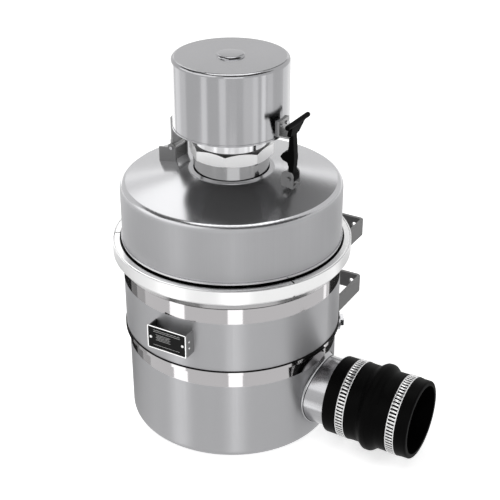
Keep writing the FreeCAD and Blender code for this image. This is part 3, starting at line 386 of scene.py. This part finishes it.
# Cap. The deep rain cap is drawn from thin stainless steel sheet and brushed round, so tall light streaks
# stand on its wall. Its top is flat and grey, with a shallow round boss pressed up in the middle.
cap_steel = metal("brushed_cap_steel", "#A1A1A3", 0.17, anisotropic=0.5)
finish(cap_steel, "cap_shell")
# The flat pieces that never show are left as the mill rolled them, a plain soft grey.
finish(metal("mill_finish_steel", "#9A9A9C", 0.35), "cap_post", "seal_plate", "element_plate")


def dress(obj, material, body, slot, *replaced):
    """Gives a made piece its material, the body it rides on and the nodes it stands for; slot is not used."""
    obj.data.materials.clear()
    obj.data.materials.append(material)
    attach(obj, body)
    if replaced:
        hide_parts(*replaced)


def from_points(name, points, faces, crease=40):
    """A mesh piece with its faces turned outward and smoothed except over sharp edges."""
    mesh = bpy.data.meshes.new(name)
    mesh.from_pydata(points, [], faces)
    edit = bmesh.new()
    edit.from_mesh(mesh)
    bmesh.ops.remove_doubles(edit, verts=edit.verts, dist=0.001 * MM)
    bmesh.ops.recalc_face_normals(edit, faces=edit.faces)
    edit.to_mesh(mesh)
    edit.free()
    mesh.polygons.foreach_set("use_smooth", [True] * len(mesh.polygons))
    mesh.set_sharp_from_angle(angle=math.radians(crease))
    return link_object(bpy.data.objects.new(name, mesh))


def ring_faces(count, bands, steps):
    """The faces of a ring of steps sections of count points each, whose first bands bands are filled."""
    faces = []
    for i in range(steps):
        here, there = i * count, (i + 1) % steps * count
        for j in range(bands):
            k = (j + 1) % count
            faces.append((here + j, here + k, there + k, there + j))
    return faces


def turned_piece(name, profile, along_x=False, centre=(0, 0, 0), steps=160, looped=True, crease=40):
    """A piece turned from (radius, length) points about an upright or a lengthwise axis."""
    count = len(profile)
    points = []
    for i in range(steps):
        turn = 2 * math.pi * i / steps
        for radius, length in profile:
            side, lift = radius * math.cos(turn), radius * math.sin(turn)
            spot = Vector((length, side, lift)) if along_x else Vector((side, lift, length))
            points.append(spot + Vector(centre))
    return from_points(name, points, ring_faces(count, count if looped else count - 1, steps), crease)


boss_low, boss_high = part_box("cap_boss")
boss_radius = (boss_high.x - boss_low.x) / 2
boss_rise = boss_high.z - boss_low.z
boss_profile = [(boss_radius - inward * MM, boss_low.z + share * boss_rise) for inward, share in
                ((0, 0), (0.2, 0.1), (1.5, 0.78), (2.4, 0.94))]
boss_profile += [(boss_radius - 3.6 * MM, boss_high.z), (0.01 * MM, boss_high.z)]
dress(turned_piece("pressed_boss", boss_profile, looped=False, crease=50), cap_steel, "cap", "cap_steel",
      "cap_boss")


# Bent parts. The hinge, the latch's clevis and keeper and the wall brackets are bent from strap that is left
# satin as it was rolled. The nameplate's bracket has painted shade darkening its inside, and its right flange
# is left light.
finish(metal("satin_hinge_steel", "#9C9C9C", 0.35), "hinge_leaf", "latch_keeper")
finish(metal("rolled_hinge_steel", "#7C7C7C", 0.35), "hinge_base", "latch_clevis", "latch_pin")
finish(metal("blasted_bracket_steel", "#7C7C7C", 0.5, streak=0.05, run=2 * MM), "upper_bracket",
       "lower_bracket")
# Painted shade: across the bracket's inside, up to its right flange, the colour is darkened.
bracket_painted_shade = (-40 * MM, 28 * MM)
finish(metal("bent_plate_steel", "#9A9A9A", 0.3, axis="X", painted_shade_belts=[bracket_painted_shade], painted_shade_tone="#4E4E4E"),
       "nameplate_bracket")
# The clevis is kept out of reflections, so that no dark image of it stands on the lid beside it.
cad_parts["latch_clevis"].visible_glossy = False


# Outlet. A drawn steel tube is welded to the pan through a saddle that flares out of it. Both are polished
# and carry long light and dark streaks, partly reflections and the die's lines and partly painted reflection
# streaks in the colour. A thin dark weld bead runs round the tube where the two meet, and follows the pan's
# curve.
# The colour carries fine long streaks along X, partly the die's lines and partly painted reflection streaks.
tube_steel = metal("drawn_tube_steel", "#A6A6A8", 0.2, run=900 * MM, streak=0.08, anisotropic=0.4, axis="X")
tube_low, tube_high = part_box("outlet_tube")
outlet_middle = (0, 0, (tube_low.z + tube_high.z) / 2)
tube_radius = (tube_high.z - tube_low.z) / 2
tube_skin = tube_radius + 0.35 * MM
tube_wall = 1.6 * MM
tube_chamfer = 0.4 * MM
tube_bore = tube_radius - tube_wall
outlet_steps = 192
tube_profile = [(tube_skin, tube_low.x), (tube_skin, tube_high.x - tube_chamfer), (tube_radius, tube_high.x),
                (tube_bore, tube_high.x), (tube_bore, tube_low.x)]
dress(turned_piece("welded_tube", tube_profile, along_x=True, centre=outlet_middle, steps=outlet_steps),
      tube_steel, "canister", "satin_steel", "outlet_tube")
pan_radius = 155.5 * MM
saddle_rows = 12
side_flare = 5.5 * MM
top_flare = 9 * MM
root_depth = 1.5 * MM
bead_radius = 0.7 * MM
bead_sides = 8


def round_the_outlet(name, section, count):
    """A ring round the outlet; section gives the radius and the place along X of a row at a turn."""
    points = []
    for i in range(outlet_steps):
        turn = 2 * math.pi * i / outlet_steps
        for j in range(count):
            radius, x = section(turn, j)
            spot = Vector((x, radius * math.cos(turn), radius * math.sin(turn)))
            points.append(spot + Vector(outlet_middle))
    return from_points(name, points, ring_faces(count, count, outlet_steps), crease=50)


def pan_wall(side):
    """The pan's place along X at a place beside the outlet's middle."""
    return math.sqrt(pan_radius ** 2 - side ** 2)


def bead_place(turn):
    """Where the saddle ends on the tube, a little outside the pan's wall."""
    return pan_wall(tube_radius * math.cos(turn)) + (1.8 + 2 * max(0, math.sin(turn))) * MM


def saddle_section(turn, row):
    """The saddle's flare, wider at the top; the last row closes it inside the tube's skin."""
    flare = side_flare + top_flare * max(0, math.sin(turn))
    root = pan_wall((tube_skin + flare) * math.cos(turn)) - root_depth
    if row > saddle_rows:
        return tube_skin - 0.2 * MM, root
    share = row / saddle_rows
    return tube_skin + flare * (1 - share) ** 2, root + (bead_place(turn) - root) * share


def bead_section(turn, row):
    """The bead's round section, half sunk in the tube."""
    angle = 2 * math.pi / bead_sides * row
    return tube_skin + bead_radius * math.cos(angle), bead_place(turn) + bead_radius * math.sin(angle)


dress(round_the_outlet("flared_saddle", saddle_section, saddle_rows + 2), tube_steel, "canister",
      "satin_steel", "outlet_saddle")
dress(round_the_outlet("saddle_bead", bead_section, bead_sides), metal("dark_weld_bead", "#3A3A3C", 0.4),
      "canister", "satin_steel")


# Rubber. The sleeve, the latch and the seals are moulded in black EPDM rubber,
# which is nearly black, matt and only a little shiny at a glancing angle.
def moulded_rubber(name, tone, roughness, grain):
    """Rubber with the faint pitted skin of its mould, wiped smoother in places."""
    made, tree = blank_material(name)
    noise = add_node(tree, "TexNoise", {"Vector": object_place(tree), "Scale": 1 / grain, "Detail": 4.0})
    bump = add_node(tree, "Bump", {"Height": noise.outputs["Fac"], "Strength": 0.2, "Distance": 0.15 * MM})
    wipe = add_node(tree, "TexNoise", {"Vector": object_place(tree), "Scale": 1 / (25 * MM), "Detail": 2.0})
    rough = add_node(tree, "MapRange", {"Value": wipe.outputs["Fac"], "To Min": roughness * 0.85,
                                        "To Max": roughness * 1.15})
    body = add_node(tree, "BsdfPrincipled", {"Base Color": linear(tone), "Roughness": rough.outputs[0],
                                             "IOR": 1.45, "Specular IOR Level": 0.05,
                                             "Normal": bump.outputs[0]})
    add_node(tree, "OutputMaterial", {"Surface": body.outputs[0]})
    return made


black_epdm = moulded_rubber("black_epdm_rubber", "#010101", 0.5, 1.2 * MM)
finish(black_epdm, "lower_gasket", "upper_gasket", "adapter_seal", "cap_seal")


# Outlet sleeve. One thick rubber hose is pulled over the tube. It has a soft hump half way and rounded ends,
# and it swells a little on each side of the two bands that squeeze it.
sleeve_low, sleeve_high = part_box("outlet_sleeve")
sleeve_wall = 7 * MM
sleeve_radius = tube_radius + sleeve_wall
hump_lowered = 2 * MM
hump_radius = (sleeve_high.z - sleeve_low.z) / 2 - hump_lowered
hump_middle = sleeve_low.x + 67.5 * MM
hump_half = 2 * MM
hump_side = 13 * MM
end_round = 2.5 * MM
swell = 0.5 * MM
swell_place = 3 * MM
swell_width = 2.5 * MM
squeeze = 0.3 * MM
bands = []
for node in ("inner_sleeve_clamp", "outer_sleeve_clamp"):
    band_low, band_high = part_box(node)
    bands.append((node, (band_low.x + band_high.x) / 2, (band_high.x - band_low.x) / 2))


def sleeve_surface(x):
    """The sleeve's outer radius at a place along it."""
    past_hump = max(0, abs(x - hump_middle) - hump_half)
    rise = math.cos(math.pi / 2 * min(1, past_hump / hump_side)) ** 2
    radius = sleeve_radius + (hump_radius - sleeve_radius) * rise
    for _, middle, half in bands:
        beside = abs(x - middle) - half
        bulge = swell * math.exp(-((beside - swell_place) / swell_width) ** 2)
        radius += bulge if beside > 0 else -squeeze
    return radius


def sleeve_profile():
    """The sleeve's wall as (radius, length) points, with a quarter round at each end."""
    outer = []
    steps = 90
    for i in range(steps + 1):
        x = sleeve_low.x + end_round + (sleeve_high.x - sleeve_low.x - 2 * end_round) * i / steps
        outer.append((sleeve_surface(x), x))
    first = [(sleeve_radius - end_round * (1 - math.sin(a)), sleeve_low.x + end_round * (1 - math.cos(a)))
             for a in (math.pi / 8 * n for n in range(4))]
    last = [(sleeve_radius - end_round * (1 - math.cos(a)), sleeve_high.x - end_round * (1 - math.sin(a)))
            for a in (math.pi / 8 * n for n in range(1, 5))]
    return first + outer + last + [(tube_radius, sleeve_high.x), (tube_radius, sleeve_low.x)]


dress(turned_piece("rubber_sleeve", sleeve_profile(), along_x=True, centre=outlet_middle,
                   steps=outlet_steps), black_epdm, "canister", "hose_rubber", "outlet_sleeve")


# Sleeve clamps. Each band is thin bright steel with a slanted slot every few millimetres,
# through which the rubber shows; the slots stop where the band runs under its screw housing.
clamp_steel = metal("slotted_band_steel", "#D6D6D6", 0.25, streak=0.01)
slot_count = 70
slot_share = 0.5
slot_half = 5.2 * MM
slot_lean = math.radians(5)
plain_from, plain_to = math.radians(-30), math.radians(72)
band_thickness = 0.9 * MM
band_lift = 0.25 * MM


def slotted_band(name, middle, half, node):
    """One band of thin sheet; every other column of its middle row is left open as a slot."""
    rows = (-half, -slot_half, slot_half, half)
    radius = sleeve_radius + band_lift
    columns = []
    for i in range(slot_count):
        start = 2 * math.pi * i / slot_count
        columns += [start, start + 2 * math.pi / slot_count * slot_share]
    points = []
    for turn in columns:
        for row in rows:
            angle = turn + math.tan(slot_lean) * row / radius
            points.append((middle + row, radius * math.cos(angle),
                           outlet_middle[2] + radius * math.sin(angle)))
    faces = []
    count = len(columns)
    for i in range(count):
        here, there = 4 * i, 4 * ((i + 1) % count)
        plain = plain_from < (columns[i] + math.pi) % (2 * math.pi) - math.pi < plain_to
        for j in range(3):
            if j == 1 and i % 2 == 0 and not plain:
                continue
            faces.append((here + j, here + j + 1, there + j + 1, there + j))
    band = from_points(name, points, faces)
    thick = band.modifiers.new("sheet", "SOLIDIFY")
    thick.thickness = band_thickness
    thick.offset = 1
    dress(band, clamp_steel, "canister", "pin_steel", node)


for node, middle, half in bands:
    slotted_band("slotted_" + node, middle, half, node)


# Latch. The draw latch is one soft moulding of black rubber with a T grip and a finger that hooks under the
# keeper. Its edges are round all over, so its solid's form is remeshed and its edges melt.
def softened(name, node, voxel, rounds):
    """A copy of a CAD node's form whose edges are melted round, as a moulding's are."""
    copy = link_object(bpy.data.objects.new(name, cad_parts[node].data.copy()))
    remesh = copy.modifiers.new("remesh", "REMESH")
    remesh.mode = "VOXEL"
    remesh.voxel_size = voxel
    melt = copy.modifiers.new("melt", "SMOOTH")
    melt.factor = 0.5
    melt.iterations = rounds
    shaped = bpy.data.meshes.new_from_object(copy.evaluated_get(bpy.context.evaluated_depsgraph_get()))
    copy.modifiers.clear()
    copy.data = shaped
    shaped.polygons.foreach_set("use_smooth", [True] * len(shaped.polygons))
    return copy


latch = softened("rubber_latch", "latch_handle", 0.8 * MM, 12)
strap_back = 93.75 * MM
finger_middle = 431 * MM
finger_half = 16 * MM
finger_thinning = 0.36
thinning_starts_over = 1.5 * MM
for vertex in latch.data.vertices:
    depth = min(1, max(0, (strap_back - vertex.co.x) / thinning_starts_over))
    if vertex.co.z > finger_middle - finger_half:
        vertex.co.z -= finger_thinning * depth * (vertex.co.z - finger_middle)
dress(latch, black_epdm, "latch", "latch_rubber", "latch_handle")


# Nameplate. A steel plate is riveted to its bracket. Its black enamel is smooth and almost without gloss,
# its border and its ruled lines are bare bright metal, and it carries nothing else.
plate_low, plate_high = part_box("nameplate")
plate_face = plate_low.y


def flat_piece(name, x, z, width, height, front, back, corner, hole=0.0):
    """An upright plate with round corners, facing -Y; hole is the width of its rim where it is a frame."""
    def rounded(w, h, r):
        points = []
        for number, (sx, sz) in enumerate(((1, 1), (-1, 1), (-1, -1), (1, -1))):
            for step in range(5):
                turn = math.pi / 2 * (number + step / 4)
                points.append((x + sx * (w / 2 - r) + r * math.cos(turn),
                               z + sz * (h / 2 - r) + r * math.sin(turn)))
        return points
    outer = rounded(width, height, corner)
    count = len(outer)
    points = [(px, front, pz) for px, pz in outer] + [(px, back, pz) for px, pz in outer]
    faces = [(i, (i + 1) % count, count + (i + 1) % count, count + i) for i in range(count)]
    if hole:
        inner = rounded(width - 2 * hole, height - 2 * hole, max(0.2 * MM, corner - hole))
        points += [(px, front, pz) for px, pz in inner] + [(px, back, pz) for px, pz in inner]
        for i in range(count):
            k = (i + 1) % count
            faces += [(low + i, low + k, high + k, high + i) for low, high in
                      ((0, 2 * count), (count, 3 * count), (2 * count, 3 * count))]
    else:
        faces += [tuple(range(count)), tuple(range(count, 2 * count))]
    return from_points(name, points, faces, crease=25)


def enamel(name, tone, roughness):
    """Stoved enamel: one even colour whose polish varies a little."""
    made, tree = blank_material(name)
    noise = add_node(tree, "TexNoise", {"Vector": object_place(tree), "Scale": 1 / (3 * MM), "Detail": 3.0})
    rough = add_node(tree, "MapRange", {"Value": noise.outputs["Fac"], "To Min": roughness * 0.8,
                                        "To Max": roughness * 1.2})
    body = add_node(tree, "BsdfPrincipled", {"Base Color": linear(tone), "Roughness": rough.outputs[0],
                                             "Specular IOR Level": 0.08})
    add_node(tree, "OutputMaterial", {"Surface": body.outputs[0]})
    return made


black_enamel = enamel("black_plate_enamel", "#050505", 0.3)
etched_line = metal("etched_bright_line", "#B8B8B8", 0.4)
plate_lift = 1.4 * MM
plate_margin = 3 * MM
plate_corner = 2 * MM
border_width = 1.5 * MM
plate_x = (plate_low.x + plate_high.x) / 2
plate_z = (plate_low.z + plate_high.z) / 2 + plate_lift
plate_wide = plate_high.x - plate_low.x + plate_margin
plate_tall = plate_high.z - plate_low.z + plate_margin
dress(flat_piece("enamelled_plate", plate_x, plate_z, plate_wide, plate_tall, plate_face, plate_high.y,
                 plate_corner), black_enamel, "canister", "label_plate", "nameplate")
dress(flat_piece("plate_border", plate_x, plate_z, plate_wide, plate_tall, plate_face - 0.25 * MM,
                 plate_face + 0.1 * MM, plate_corner, hole=border_width),
      strap_steel, "canister", "label_plate")
# Each rule's place across and up from the plate's middle, then its width and height, in millimetres.
ruled = [(0, 12.2, 44, 0.5), (0, 9.6, 44, 0.5), (-4, -11.6, 36, 0.4), (17, -11.6, 8, 0.4)]
ruled += [(-6, 5.2 - 2.1 * row, 24 - 3 * (row % 2), 0.45) for row in range(5)]
for number, (x, z, width, height) in enumerate(ruled):
    dress(flat_piece("plate_rule_%d" % number, plate_x + x * MM, plate_z + z * MM, width * MM, height * MM,
                     plate_face - 0.06 * MM, plate_face + 0.05 * MM, 0.1 * MM),
          etched_line, "canister", "label_plate")


def domed_rivet(name, place, facing, radius, height):
    """A small round rivet head; facing is the direction its dome points in."""
    profile = [(radius, 0)] + [(radius * math.cos(a), height * (0.25 + 0.75 * math.sin(a)))
                               for a in (math.pi / 2 * n / 6 for n in range(7))]
    rivet = turned_piece(name, profile, steps=24, looped=False, crease=60)
    rivet.data.transform(Vector(facing).to_track_quat("Z", "Y").to_matrix().to_4x4())
    rivet.data.transform(Matrix.Translation(place))
    return rivet


rivet_low, rivet_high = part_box("nameplate_rivets")
rivet_radius = 2.2 * MM
for word, x in (("left", rivet_low.x + rivet_radius), ("right", rivet_high.x - rivet_radius)):
    rivet = domed_rivet("plate_rivet_" + word, (x, plate_face, plate_z), (0, -1, 0), rivet_radius, 1.3 * MM)
    dress(rivet, strap_steel, "canister", "pin_steel", *(["nameplate_rivets"] if word == "left" else []))
flange_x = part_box("nameplate_bracket")[1].x
flange_y = plate_face + 9 * MM
for word, z in (("upper", 205 * MM), ("lower", 195 * MM)):
    rivet = domed_rivet("flange_rivet_" + word, (flange_x, flange_y, z), (1, 0, 0), 1.7 * MM, 1 * MM)
    dress(rivet, strap_steel, "canister", "pin_steel")


# Filter element. Cream felt is pleated round a core of pierced galvanised sheet, between grey moulded rubber
# ends. The felt is fuzzy and quite matt, and the zinc on the core shows as broad grey blotches.
def felt(name, tone):
    """Needled felt: a fuzzy skin that is lighter where its fibres stand up."""
    made, tree = blank_material(name)
    noise = add_node(tree, "TexNoise", {"Vector": object_place(tree), "Scale": 1 / (0.8 * MM), "Detail": 5.0})
    bump = add_node(tree, "Bump", {"Height": noise.outputs["Fac"], "Strength": 0.5, "Distance": 0.3 * MM})
    light = blend_colours(tree, noise.outputs["Fac"], linear(tone), linear("#F2EEDF"))
    body = add_node(tree, "BsdfPrincipled", {"Base Color": light, "Roughness": 0.95,
                                             "Normal": bump.outputs[0]})
    add_node(tree, "OutputMaterial", {"Surface": body.outputs[0]})
    return made


finish(felt("cream_filter_felt", "#D9D2BC"), "pleated_media")
finish(metal("galvanised_core_steel", "#9FA3A6", 0.45, streak=0.12, run=4 * MM, grain=4 * MM), "element_core")
finish(moulded_rubber("grey_end_cap_rubber", "#3A3C3E", 0.6, 2 * MM), "element_head", "element_end_cap")
